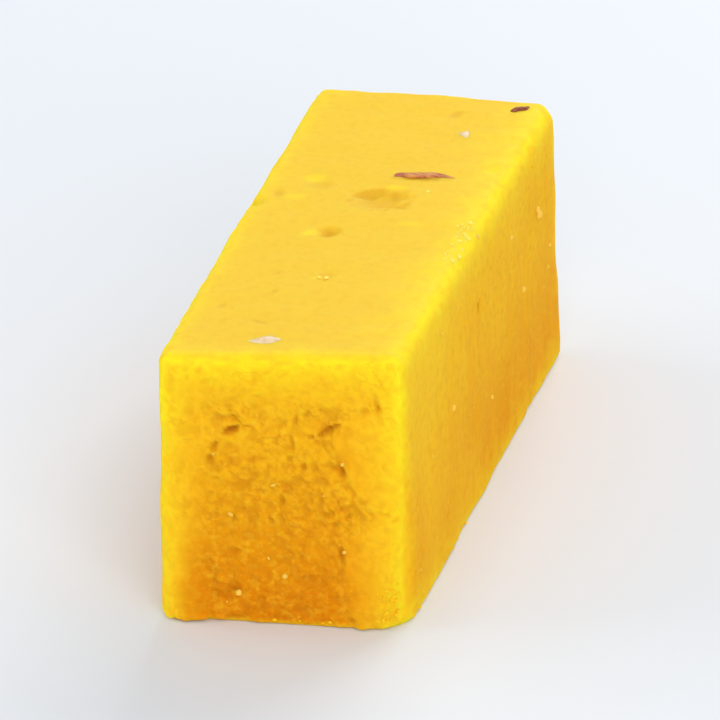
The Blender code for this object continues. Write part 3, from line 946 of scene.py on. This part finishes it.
@dataclass(frozen=True)
class BesanFudge:
    """Cooked chickpea flour, ghee and sugar, set and cut: a dense, waxy, slightly translucent yellow."""

    skin: str = "#FBC21E"
    # The smooth poured top's paler tone, partly its own and partly a painted sheen.
    top: str = "#F0C534"
    # Painted shade: the ends and sides deepen from middle to low towards the base.
    middle: str = "#F3B312"
    low: str = "#E48C00"
    # The edges' rubbed tone with a painted glow of light through them.
    rim: str = "#FFE722"
    # Painted shade in creases, cracks, pits and hollows.
    crevice: str = "#C87407"
    light_mottle: str = "#FFD22E"
    streak: str = "#F0A012"
    dark_mottle: str = "#DE9010"
    top_roughness: float = 0.58
    cut_roughness: float = 0.85
    ior: float = 1.42
    specular: float = 0.12
    scatter_share: float = 0.7
    scatter_depth: float = 1.3 * MM
    scatter_reach: tuple = (1.0, 0.45, 0.1)
    grain_size: float = 0.5 * MM
    grain_depth: float = 0.2 * MM
    fine_size: float = 0.3 * MM
    fine_depth: float = 0.07 * MM
    # The heights between which that painted shade deepens from middle to low.
    low_shade_heights: Pair = (17 * MM, 3 * MM)
    streak_stretch: tuple = (1.0, 1.0, 0.12)
    # Each mottling: the size of one lump, and the noise values that give none and the most of it.
    pale_lumps: tuple = (0.6 * MM, 0.5, 0.8)
    dark_lumps: tuple = (0.9 * MM, 0.52, 0.32)
    streak_lumps: tuple = (1.8 * MM, 0.4, 0.68)

    def material(self) -> Material:
        """Mixes the finish: yellow skin, painted glow at the edges, painted orange shade on the crumb and in
        pores, pale and dark mottling.

        Returns:
            The material.
        """
        material, tree, places = new_material("besan_fudge")
        share = {name: add_node(tree, "Attribute", {"attribute_name": name}, "Fac") for name in LAYERS}
        pale = add_node(tree, "MapRange", {0: share["top"], "To Min": 0.3, "To Max": 0.08})
        # The dark mottling and the streaks grow where the painted shade is deeper.
        dark = add_node(tree, "MapRange", {0: share["deep"], "To Min": 0.12, "To Max": 0.4})
        deeper = add_node(tree, "MapRange", {0: share["deep"], "From Min": 0.3, "To Max": 0.55})
        whole = add_node(tree, "MapRange", {0: share["torn"], "To Min": 1.0, "To Max": 0.0})
        streaking = add_node(tree, "Math", {"operation": "MULTIPLY", 0: deeper, 1: whole})
        stretched = add_node(tree, "Mapping", {0: places, "Scale": self.streak_stretch})
        mottlings = []
        for most, where, (size, none, full) in (
            (pale, places, self.pale_lumps),
            (dark, places, self.dark_lumps),
            (streaking, stretched, self.streak_lumps),
        ):
            lumps = add_node(tree, "TexNoise", {0: where, "Scale": 1 / size, "Detail": 2.0})
            settings = {0: lumps, "From Min": none, "From Max": full, "To Max": most}
            mottlings.append(add_node(tree, "MapRange", settings))
        pale, dark, streaks = mottlings
        settings = {0: places, "Scale": 1 / self.grain_size, "Randomness": 1.0}
        grains = add_node(tree, "TexVoronoi", settings, "Color")
        tone = add_node(tree, "SeparateColor", {0: grains})
        tone = add_node(tree, "MapRange", {0: tone, "From Min": 0.55, "From Max": 1.0, "To Max": 0.27})
        tone = add_node(tree, "Math", {"operation": "MULTIPLY", 0: tone, 1: share["torn"]})
        height = add_node(tree, "SeparateXYZ", {0: places}, "Z")
        top, foot = self.low_shade_heights
        down = add_node(tree, "MapRange", {0: height, "From Min": top, "From Max": foot})
        # Painted shade, deepening towards the base.
        deep = add_node(tree, "Mix", {"data_type": "RGBA", 0: down, 6: self.middle, 7: self.low}, 2)
        colour = self.skin
        # Painted light and shade mix in here with the mottling: a sheen on the top, shade down the ends,
        # sides and crevices, glow at the edges.
        for amount, over in (
            (share["top"], self.top),
            (share["deep"], deep),
            (pale, self.light_mottle),
            (dark, self.dark_mottle),
            (streaks, self.streak),
            (tone, self.light_mottle),
            (share["rim"], self.rim),
            (share["crevice"], self.crevice),
        ):
            colour = add_node(tree, "Mix", {"data_type": "RGBA", 0: amount, 6: colour, 7: over}, 2)
        settings = {0: share["top"], "To Min": self.cut_roughness, "To Max": self.top_roughness}
        roughness = add_node(tree, "MapRange", settings)
        settings = {0: places, "Scale": 1 / self.fine_size, "Detail": 3.0, "Roughness": 0.6}
        fine = add_node(tree, "TexNoise", settings)
        strength = add_node(tree, "Math", {"operation": "MULTIPLY_ADD", 0: share["torn"], 1: 0.45, 2: 0.15})
        bump = add_node(tree, "Bump", {"Distance": self.fine_depth, "Height": fine, "Strength": strength})
        strength = add_node(tree, "Math", {"operation": "MULTIPLY_ADD", 0: share["torn"], 1: 0.62, 2: 0.02})
        settings = {"Distance": self.grain_depth, "invert": True, "Strength": strength, "Normal": bump}
        bump = add_node(tree, "Bump", {"Height": grains.node.outputs["Distance"], **settings})
        shader = {
            "Base Color": colour,
            "Roughness": roughness,
            "Normal": bump,
            "IOR": self.ior,
            "Specular IOR Level": self.specular,
            "Subsurface Weight": self.scatter_share,
            "Subsurface Radius": self.scatter_reach,
            "Subsurface Scale": self.scatter_depth,
        }
        feed(tree.nodes[SHADER], shader)
        return material


@dataclass(frozen=True)
class PistachioSkin:
    """The papery skin of a cut pistachio: reddish brown, wrinkled lengthways, paler where it was scraped."""

    name: str = "pistachio_skin"
    skin: str = "#C8744A"
    scraped: str = "#DC9850"
    wrinkle: str = "#A4563C"
    roughness: float = 0.75
    patch_size: float = 1.6 * MM
    wrinkle_size: float = 0.35 * MM
    wrinkle_stretch: tuple = (0.35, 1.6, 1.0)
    wrinkle_depth: float = 0.05 * MM

    @classmethod
    def of_tip(cls) -> "PistachioSkin":
        """The darker skin at the nut's tip, which the knife hasn't scraped."""
        return cls("pistachio_tip_skin", "#964E2E", "#B46A38", "#72361E")

    def material(self) -> Material:
        """Mixes scraped patches and fine dark wrinkles into the skin.

        Returns:
            The material.
        """
        material, tree, places = new_material(self.name)
        patch = add_node(tree, "TexNoise", {0: places, "Scale": 1 / self.patch_size, "Detail": 2.0})
        patch = add_node(tree, "MapRange", {0: patch, "From Min": 0.45, "From Max": 0.62})
        stretched = add_node(tree, "Mapping", {0: places, "Scale": self.wrinkle_stretch})
        line = add_node(tree, "TexNoise", {0: stretched, "Scale": 1 / self.wrinkle_size, "Detail": 2.0})
        line = add_node(tree, "MapRange", {0: line, "From Min": 0.5, "From Max": 0.35})
        colour = add_node(tree, "Mix", {"data_type": "RGBA", 0: patch, 6: self.skin, 7: self.scraped}, 2)
        colour = add_node(tree, "Mix", {"data_type": "RGBA", 0: line, 6: colour, 7: self.wrinkle}, 2)
        bump = add_node(tree, "Bump", {"Strength": 0.5, "Distance": self.wrinkle_depth, "Height": line})
        feed(tree.nodes[SHADER], {"Base Color": colour, "Normal": bump, "Roughness": self.roughness})
        return material


@dataclass(frozen=True)
class BlanchedAlmond:
    """Blanched almond, broken: ivory and waxy, with a faint greyish grain and soft light inside."""

    flesh: str = "#EDD4AE"
    shade: str = "#DDBA86"
    roughness: float = 0.5
    scatter_share: float = 0.3
    grain_size: float = 0.5 * MM
    grain_depth: float = 0.04 * MM
    scatter_depth: float = 0.5 * MM

    def material(self) -> Material:
        """Mixes the flesh with its faint darker grain.

        Returns:
            The material.
        """
        material, tree, places = new_material("blanched_almond")
        grain = add_node(tree, "TexNoise", {0: places, "Scale": 1 / self.grain_size, "Detail": 3.0})
        share = add_node(tree, "MapRange", {0: grain, "From Min": 0.4, "From Max": 0.7})
        colour = add_node(tree, "Mix", {"data_type": "RGBA", 0: share, 6: self.flesh, 7: self.shade}, 2)
        bump = add_node(tree, "Bump", {"Strength": 0.4, "Distance": self.grain_depth, "Height": grain})
        shader = {
            "Base Color": colour,
            "Normal": bump,
            "Roughness": self.roughness,
            "Subsurface Weight": self.scatter_share,
            "Subsurface Scale": self.scatter_depth,
        }
        feed(tree.nodes[SHADER], shader)
        return material


@dataclass(frozen=True)
class PlainFinish:
    """A simple matt finish with soft mottling, for the small bits and the table."""

    name: str
    colour: str
    shade: str
    mottle: float
    roughness: float
    specular: float = 0.2

    def material(self) -> Material:
        """Mixes the two tones of the finish with a soft noise.

        Returns:
            The material.
        """
        material, tree, places = new_material(self.name)
        mottling = add_node(tree, "TexNoise", {0: places, "Scale": 1 / self.mottle, "Detail": 2.0})
        colour = add_node(tree, "Mix", {"data_type": "RGBA", 0: mottling, 6: self.colour, 7: self.shade}, 2)
        shader = {"Base Color": colour, "Roughness": self.roughness, "Specular IOR Level": self.specular}
        feed(tree.nodes[SHADER], shader)
        return material


@dataclass(frozen=True)
class Seat:
    """Where a small piece lies: its face, its place in the face's two directions, and its radius."""

    face: Face
    first: float
    second: float
    radius: float


@dataclass(frozen=True)
class CrumbPatch:
    """A part of a face that crumbs cling to: its bounds in the face's two directions, count and radii."""

    face: Face
    first: Pair
    second: Pair
    count: int
    radii: Pair


def seats_on(face: Face, *rows: tuple) -> tuple:
    """Makes seats on one face, from rows of their two places and radius in mm."""
    return tuple(Seat(face, *row) for row in in_metres(*rows))


def crumb_patches(*rows: tuple) -> tuple:
    """Makes crumb patches.

    Args:
        rows: For each patch its face, its bounds in the face's two directions, its count and its radii, with
            lengths in mm.

    Returns:
        The patches.
    """
    return tuple(
        CrumbPatch(face, *in_metres(first, second), count, *in_metres(radii))
        for face, first, second, count, radii in rows
    )


@dataclass
class ClingingCrumbs:
    """Crumbs of one kind that cling to the bar, as one mesh of small uneven grains."""

    name: str
    form: BarForm
    seed: int
    seats: tuple = ()
    patches: tuple = ()
    sunk: float = 0.35
    unevenness: float = 0.35
    flattening: float = 0.75
    stretches: Pair = (0.8, 1.35)
    lump_pitch: float = 1.6
    noise_room: float = 50

    def all_seats(self) -> list[Seat]:
        """The seats named one by one, and those drawn in the patches.

        Returns:
            Every seat.
        """
        draw = random.Random(self.seed)
        seats = list(self.seats)
        for patch in self.patches:
            for _ in range(patch.count):
                first, second = draw.uniform(*patch.first), draw.uniform(*patch.second)
                seats.append(Seat(patch.face, first, second, mix(*patch.radii, draw.random() ** 2)))
        return seats

    def build(self, finish: Material) -> Piece:
        """Builds all crumbs of the kind.

        Args:
            finish: Their material.

        Returns:
            The crumbs' object.
        """
        draw = random.Random(self.seed + 1)
        shape = bmesh.new()
        for seat in self.all_seats():
            middle, out = self.form.on_skin(self.form.on_box(seat.face, seat.first, seat.second))
            made = bmesh.ops.create_icosphere(shape, subdivisions=2, radius=1.0)["verts"]
            offset = Vector([draw.uniform(0, self.noise_room) for _ in range(3)])
            spin = Matrix.Rotation(draw.uniform(0, math.tau), 3, "Z")
            stand = out.to_track_quat("Z", "Y").to_matrix()
            stretch = draw.uniform(*self.stretches)
            for vertex in made:
                grown = vertex.co * (1 + self.unevenness * noise.noise(self.lump_pitch * vertex.co + offset))
                grown = spin @ Vector((grown.x * stretch, grown.y / stretch, grown.z * self.flattening))
                vertex.co = middle + stand @ grown * seat.radius + out * seat.radius * (0.5 - self.sunk)
        return place_piece(shape, self.name, finish)


@dataclass
class NutSliver:
    """A sliver of nut, cut lengthways and pressed into the top: bowed, one end blunt and the other thin."""

    name: str
    form: BarForm
    middle: Pair
    turn: float
    length: float
    width: float
    thickness: float
    bow: float
    proud: float
    point_loss: float = 0.72
    blunt_loss: float = 0.45
    blunt_width: float = 0.9
    roughness: float = 0.18
    flat_top: float = 0.55
    least_round: float = 0.03
    wave_height: float = 0.5
    wave_pitch: float = 5

    def build(self, finish: Material) -> Piece:
        """Builds the sliver.

        Args:
            finish: Its material.

        Returns:
            The sliver's object.
        """
        shape = bmesh.new()
        bmesh.ops.create_uvsphere(shape, u_segments=24, v_segments=40, radius=1.0)
        upright = Matrix.Rotation(math.pi / 2, 3, "Y")
        turn = Matrix.Rotation(math.radians(self.turn), 3, "Z")
        for vertex in shape.verts:
            part = upright @ vertex.co
            round_off = math.sqrt(max(1 - part.x**2, self.least_round))
            taper = 1 - self.point_loss * part.x
            if part.x <= 0:
                taper = (1 - self.blunt_loss * part.x**12) * self.blunt_width / round_off
            rough = 1 + self.roughness * noise.noise(Vector((3 * part.x, 1.3 * part.y, part.z)))
            wave = 1 - part.x**2 + self.wave_height * math.sin(self.wave_pitch * part.x)
            across = part.y * taper * rough * self.width / 2 + self.bow * wave
            rise = min(part.z, self.flat_top) * min(taper, 1.0) * rough * self.thickness / 2
            local = turn @ Vector((part.x * self.length / 2, across, 0))
            place = Vector((self.middle[0] + local.x, self.middle[1] + local.y, self.form.height))
            skin, _ = self.form.on_skin(place)
            sunk = self.proud - self.flat_top * self.thickness / 2
            vertex.co = skin + Vector((0, 0, sunk + rise - self.proud * part.x**4))
        bmesh.ops.recalc_face_normals(shape, faces=shape.faces)
        return place_piece(shape, self.name, finish)


@dataclass
class NutChip:
    """A broken chip of nut that lies in the top: a small block with a few cut faces and soft edges."""

    name: str
    form: BarForm
    middle: Pair
    turn: float
    size: Vector
    seed: int
    cuts: int = 9
    proud: float = 0.3 * MM
    cut_reach: Pair = (0.5, 0.78)
    graininess: float = 0.03 * MM
    grain_size: float = 0.3 * MM

    def build(self, finish: Material) -> Piece:
        """Builds the chip.

        Args:
            finish: Its material.

        Returns:
            The chip's object.
        """
        draw = random.Random(self.seed)
        shape = bmesh.new()
        bmesh.ops.create_icosphere(shape, subdivisions=3, radius=1.0)
        for _ in range(self.cuts):
            way = Vector((draw.uniform(-1, 1), draw.uniform(-1, 1), draw.uniform(-0.2, 1))).normalized()
            geometry = shape.verts[:] + shape.edges[:] + shape.faces[:]
            plane = {"plane_co": way * draw.uniform(*self.cut_reach), "plane_no": way}
            cut = bmesh.ops.bisect_plane(shape, geom=geometry, clear_outer=True, **plane)
            rim = [part for part in cut["geom_cut"] if isinstance(part, bmesh.types.BMEdge)]
            bmesh.ops.edgeloop_fill(shape, edges=rim)
        bmesh.ops.triangulate(shape, faces=shape.faces)
        bmesh.ops.subdivide_edges(shape, edges=shape.edges, cuts=1)
        axes = {"use_axis_x": True, "use_axis_y": True, "use_axis_z": True}
        bmesh.ops.smooth_vert(shape, verts=shape.verts, factor=0.5, **axes)
        turn = Matrix.Rotation(math.radians(self.turn), 3, "Z")
        skin, _ = self.form.on_skin(Vector((*self.middle, self.form.height)))
        top = max(vertex.co.z for vertex in shape.verts) * self.size.z / 2
        for vertex in shape.verts:
            grown = Vector(a * b / 2 for a, b in zip(vertex.co, self.size))
            grown += self.graininess * noise.noise_vector(grown / self.grain_size)
            vertex.co = skin + turn @ grown + Vector((0, 0, self.proud - top))
        bmesh.ops.recalc_face_normals(shape, faces=shape.faces)
        return place_piece(shape, self.name, finish)


@dataclass
class Toppings:
    """The bits on the bar: two nut slivers, two nut chips, pale grains and the sweet's own crumbs."""

    form: BarForm = field(default_factory=BarForm)

    def slivers(self) -> list[NutSliver]:
        """The two slivers of pistachio.

        Returns:
            The slivers, not yet built.
        """
        # Each row: name, middle, turn in degrees, and its length, width, thickness, bow and height.
        rows = (
            ("pistachio_sliver", (3.8, 10.6), 4, (6.7, 1.0, 0.6, 0.25, 0.18)),
            ("pistachio_tip", (8.9, 28.2), 46, (2.5, 0.75, 0.8, -0.2, 0.25)),
        )
        return [
            NutSliver(name, self.form, *in_metres(spot), turn, *in_metres(sizes)[0])
            for name, spot, turn, sizes in rows
        ]

    def chips(self) -> list[NutChip]:
        """The almond chip and its small fleck.

        Returns:
            The chips, not yet built.
        """
        # Each row: name, middle, turn in degrees, size, seed and height over the top.
        rows = (
            ("almond_chip", (-1.7, -26.8), 26, (5.0, 2.8, 1.0), 5, 0.24),
            ("almond_fleck", (5.0, 21.1), 10, (2.3, 1.8, 0.6), 8, 0.12),
        )
        return [
            NutChip(name, self.form, *in_metres(spot), turn, Vector(size) * MM, seed, proud=proud * MM)
            for name, spot, turn, size, seed, proud in rows
        ]

    def grains(self) -> ClingingCrumbs:
        """The pale grains: those with a place of their own, and a few strewn over the faces.

        Returns:
            The grains, not yet built.
        """
        right = seats_on(
            Face.RIGHT,
            (22.2, 19.2, 0.46),
            (21.8, 19.9, 0.34),
            (26.6, 13.8, 0.24),
            (14.8, 14.3, 0.38),
            (10.8, 21.8, 0.3),
            (-13.4, 14.8, 0.32),
            (-10.4, 23.9, 0.18),
            (-1.0, 27.3, 0.26),
            (1.9, 8.6, 0.26),
        )
        near = seats_on(
            Face.NEAR,
            (-4.1, 3.2, 0.34),
            (0.2, 5.2, 0.28),
            (-0.8, 14.7, 0.2),
            (-4.8, 11.5, 0.24),
            (5.8, 17.3, 0.2),
            (5.8, 8.2, 0.2),
        )
        patches = crumb_patches(
            (Face.NEAR, (-9, 7), (2, 25), 4, (0.08, 0.2)),
            (Face.FAR, (-9, 9), (2, 25), 12, (0.1, 0.36)),
            (Face.RIGHT, (-28, 28), (2, 26), 14, (0.08, 0.2)),
            (Face.LEFT, (-28, 28), (2, 26), 26, (0.1, 0.36)),
        )
        return ClingingCrumbs("pale_grains", self.form, 21, right + near, patches)

    def rim_crumbs(self) -> ClingingCrumbs:
        """The flat light crumbs pressed on to the top: most by its right edge, three further in.

        Returns:
            The crumbs, not yet built.
        """
        seats = seats_on(
            Face.TOP,
            (10.5, 0.3, 0.26),
            (9.5, -0.7, 0.2),
            (10.6, -2.2, 0.22),
            (11.2, -2.6, 0.27),
            (10.5, -4.0, 0.24),
            (11.3, -5.2, 0.2),
            (11.5, -6.7, 0.28),
            (10.9, -8.2, 0.26),
            (9.9, -7.1, 0.2),
            (4.8, 7.0, 0.26),
            (0.0, -13.3, 0.26),
            (-0.7, -13.2, 0.2),
        )
        patches = crumb_patches((Face.TOP, (9.8, 11.7), (-8.5, 0.5), 40, (0.08, 0.18)))
        return ClingingCrumbs("rim_crumbs", self.form, 45, seats, patches, sunk=0.42, flattening=0.5)

    def crumbs(self) -> ClingingCrumbs:
        """The sweet's own crumbs, thickest along the cut edges and the foot.

        Returns:
            The crumbs, not yet built.
        """
        patches = crumb_patches(
            (Face.NEAR, (9, 11.4), (0.8, 6), 26, (0.1, 0.24)),
            (Face.NEAR, (-11, 9), (0.2, 0.5), 8, (0.1, 0.24)),
            (Face.FAR, (-11, 11), (0.2, 0.5), 8, (0.1, 0.24)),
            (Face.RIGHT, (-28, 28), (1, 26), 10, (0.1, 0.24)),
            (Face.RIGHT, (-29, 29), (0.2, 0.5), 12, (0.08, 0.18)),
            (Face.LEFT, (-29, 29), (0.2, 0.5), 12, (0.08, 0.18)),
            (Face.LEFT, (-28, 28), (1, 27), 16, (0.1, 0.24)),
        )
        return ClingingCrumbs("clinging_crumbs", self.form, 33, (), patches)

    def build(self) -> list[Piece]:
        """Builds every topping, each kind with its own finish.

        Returns:
            The pieces.
        """
        skins = (PistachioSkin().material(), PistachioSkin.of_tip().material())
        pieces = [sliver.build(skin) for sliver, skin in zip(self.slivers(), skins)]
        almond = BlanchedAlmond().material()
        pieces += [chip.build(almond) for chip in self.chips()]
        grain = PlainFinish("pale_gram_grain", "#F8D25C", "#F4C23E", 0.3 * MM, 0.7)
        crumb = PlainFinish("dry_besan_crumb", "#FFD21C", "#FBBE0E", 0.5 * MM, 0.9)
        rim_crumb = PlainFinish("sugary_besan_crumb", "#FFEE80", "#FFE248", 0.4 * MM, 0.8)
        for kind, finish in ((self.grains(), grain), (self.crumbs(), crumb), (self.rim_crumbs(), rim_crumb)):
            pieces.append(kind.build(finish.material()))
        return pieces


@dataclass
class PhotographView:
    """The camera: the photograph's viewpoint, aimed at the bar."""

    eye: Vector = field(default_factory=lambda: Vector((138.88, -543.33, 298.1)) * MM)
    target: Vector = field(default_factory=lambda: Vector((-0.02, -1.53, 13.9)) * MM)
    lens_mm: float = 319.4
    sensor_mm: float = 36.0
    nearest: float = 0.01
    farthest: float = 10

    def build(self) -> Piece:
        """Makes the camera and gives it to the scene.

        Returns:
            The camera's object.
        """
        data = bpy.data.cameras.new("photograph_view")
        data.lens = self.lens_mm
        data.sensor_width = self.sensor_mm
        data.clip_start = self.nearest
        data.clip_end = self.farthest
        camera = bpy.data.objects.new("photograph_view", data)
        bpy.context.scene.collection.objects.link(camera)
        camera.location = self.eye
        camera.rotation_euler = (self.target - self.eye).to_track_quat("-Z", "Y").to_euler()
        bpy.context.scene.camera = camera
        return camera


@dataclass
class Studio:
    """A plain pale table under a soft room light and three soft lamps."""

    table_size: float = 3.0
    table_colour: str = "#E2E6EA"
    table_mottle: float = 40 * MM
    table_roughness: float = 0.6
    world_colour: str = "#F4F7FC"
    world_strength: float = 0.6
    aim: Vector = field(default_factory=lambda: Vector((0, 0, 14)) * MM)
    # Each light: its name, its place and its side in metres, and its power in watts.
    lights: tuple = (
        ("back_key", (0.1, 0.5, 0.42), 0.4, 2.1),
        ("front_fill", (0.27, -0.55, 0.35), 0.5, 2.3),
        ("left_fill", (-0.6, -0.1, 0.3), 0.4, 1.1),
    )

    def table(self) -> Piece:
        """Makes the plain table.

        Returns:
            The table's object.
        """
        shape = bmesh.new()
        bmesh.ops.create_grid(shape, x_segments=1, y_segments=1, size=self.table_size / 2)
        mesh = bpy.data.meshes.new("table")
        shape.to_mesh(mesh)
        shape.free()
        colour = self.table_colour
        finish = PlainFinish("painted_board", colour, colour, self.table_mottle, self.table_roughness)
        mesh.materials.append(finish.material())
        table = bpy.data.objects.new("table", mesh)
        bpy.context.scene.collection.objects.link(table)
        return table

    def softbox(self, name: str, place: Vector, size: float, watts: float) -> None:
        """Hangs one square softbox.

        Args:
            name: The light's name.
            place: Where it hangs.
            size: The length of its side.
            watts: Its power.
        """
        data = bpy.data.lights.new(name, "AREA")
        data.shape = "SQUARE"
        data.size = size
        data.energy = watts
        light = bpy.data.objects.new(name, data)
        bpy.context.scene.collection.objects.link(light)
        light.location = place
        light.rotation_euler = (self.aim - place).to_track_quat("-Z", "Y").to_euler()

    def build(self) -> None:
        """Sets up the table, the world and the lights."""
        self.table()
        world = bpy.data.worlds.new("soft_room")
        world.use_nodes = True
        settings = {"Color": self.world_colour, "Strength": self.world_strength}
        feed(world.node_tree.nodes["Background"], settings)
        bpy.context.scene.world = world
        for name, place, size, watts in self.lights:
            self.softbox(name, Vector(place), size, watts)
        view = bpy.context.scene.view_settings
        view.view_transform = "Standard"
        view.look = "None"


def main() -> None:
    """Builds the whole scene and reports each piece."""
    logging.basicConfig(level=logging.INFO, format="%(message)s")
    noise.seed_set(NOISE_SEED)
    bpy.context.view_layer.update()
    PhotographView().build()
    log.info("camera placed")
    Studio().build()
    log.info("studio lit")
    bar = BesanBar().build(BesanFudge().material())
    log.info("%s built with %d faces", bar.name, len(bar.data.polygons))
    for piece in Toppings().build():
        log.info("%s built with %d faces", piece.name, len(piece.data.polygons))


if __name__ == "__main__":
    main()
